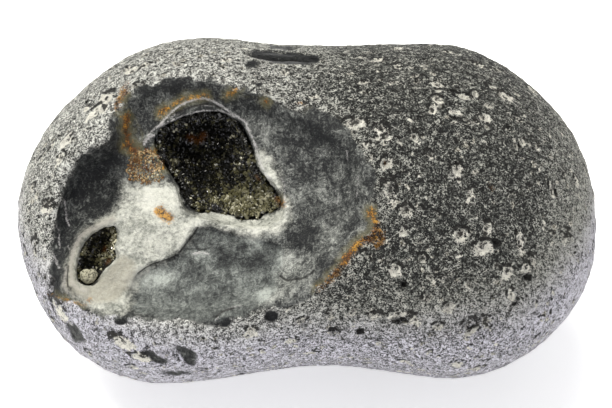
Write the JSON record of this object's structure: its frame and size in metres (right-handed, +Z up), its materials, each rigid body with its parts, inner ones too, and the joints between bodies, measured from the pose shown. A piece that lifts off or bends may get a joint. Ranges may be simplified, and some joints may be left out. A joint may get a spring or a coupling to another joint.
{
  "type": "flint nodule",
  "caption": "Sea-worn, waisted flint nodule with a pitted rind, broken open on its left lobe to show grey flint and crystal-lined hollows.",
  "frame": {"origin": "on the surface that the stone rests on, under the middle of its box", "axes": "+X along the stone from the broken lobe to the whole one, +Z up, and the broken face looks towards -Y and up"},
  "size_m": [0.11, 0.0756, 0.0596],
  "materials": {
    "flint": "matte",
    "rock_crystal": "gloss",
    "stone_chip": "matte"
  },
  "bodies": {
    "root": {"flint_nodule": "flint", "large_vug_crystals": "rock_crystal", "small_vug_crystals": "rock_crystal", "wedged_chip": "stone_chip"}
  },
  "joints": []
}
